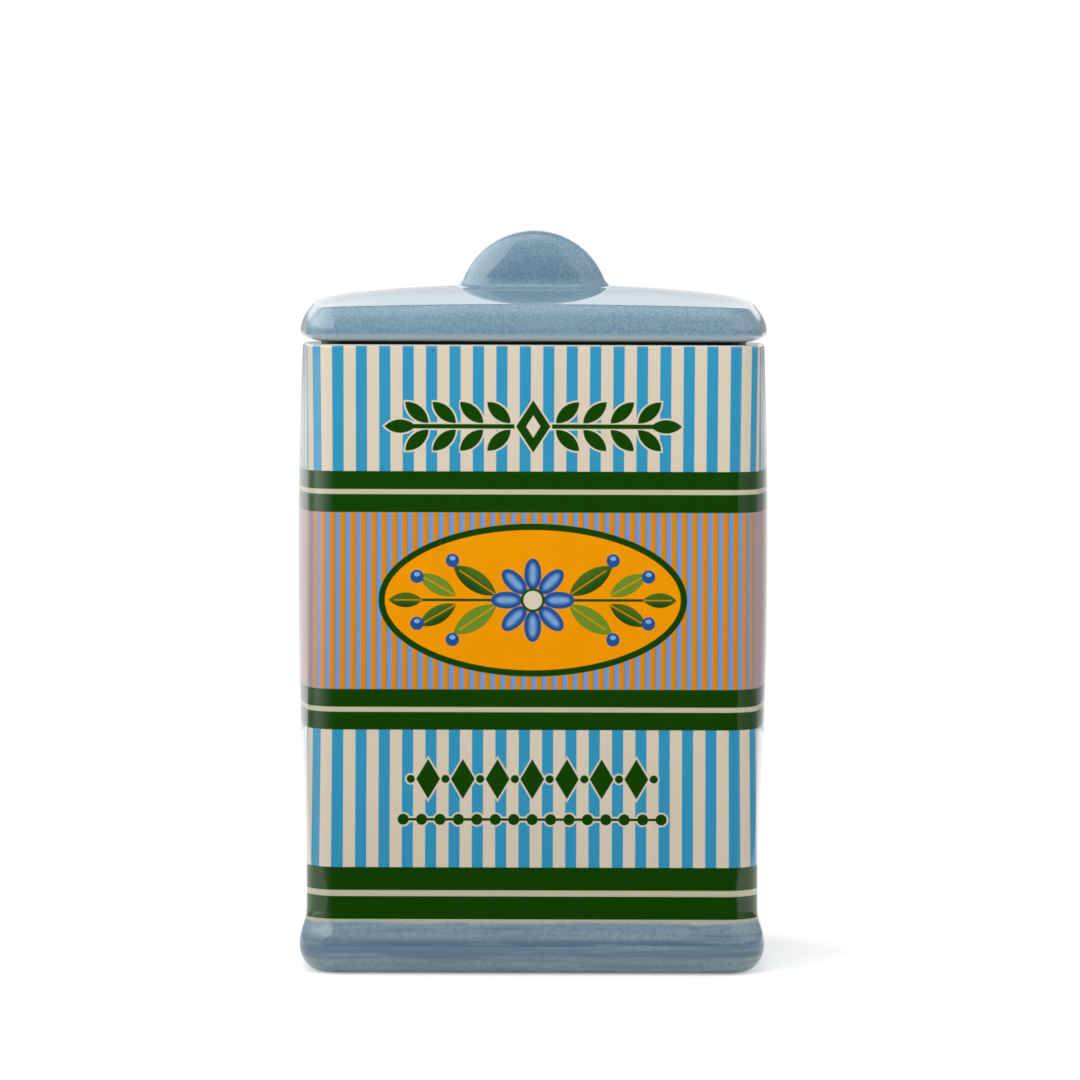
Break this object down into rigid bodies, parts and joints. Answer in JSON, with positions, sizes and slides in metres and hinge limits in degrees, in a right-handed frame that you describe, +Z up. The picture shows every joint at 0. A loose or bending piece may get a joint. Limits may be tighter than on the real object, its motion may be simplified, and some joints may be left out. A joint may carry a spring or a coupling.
{
  "type": "lidded ceramic jar",
  "caption": "Rectangular glazed stoneware jar with a bullnose foot, bowed side walls and a lift-off lid that has a half-moon grip and a silicone seal.",
  "frame": {"origin": "middle of the foot, on the surface that the jar stands on", "axes": "+Z up through the lid's grip, -Y out of the decorated front, +X to the right seen from the front"},
  "size_m": [0.129, 0.0864, 0.2002],
  "materials": {
    "decorated_stoneware": "glossy glaze over a fired transfer",
    "blue_glazed_stoneware": "glossy speckled glaze",
    "dark_silicone": "soft satin"
  },
  "bodies": {
    "jar": {"jar_body": "decorated_stoneware"},
    "lid": {"lid": "blue_glazed_stoneware", "lid_seal": "dark_silicone"}
  },
  "joints": [
    {"name": "lid_lift", "type": "slide", "parent": "jar", "child": "lid", "axis": [0, 0, 1], "range_m": [0, 0.1]}
  ]
}
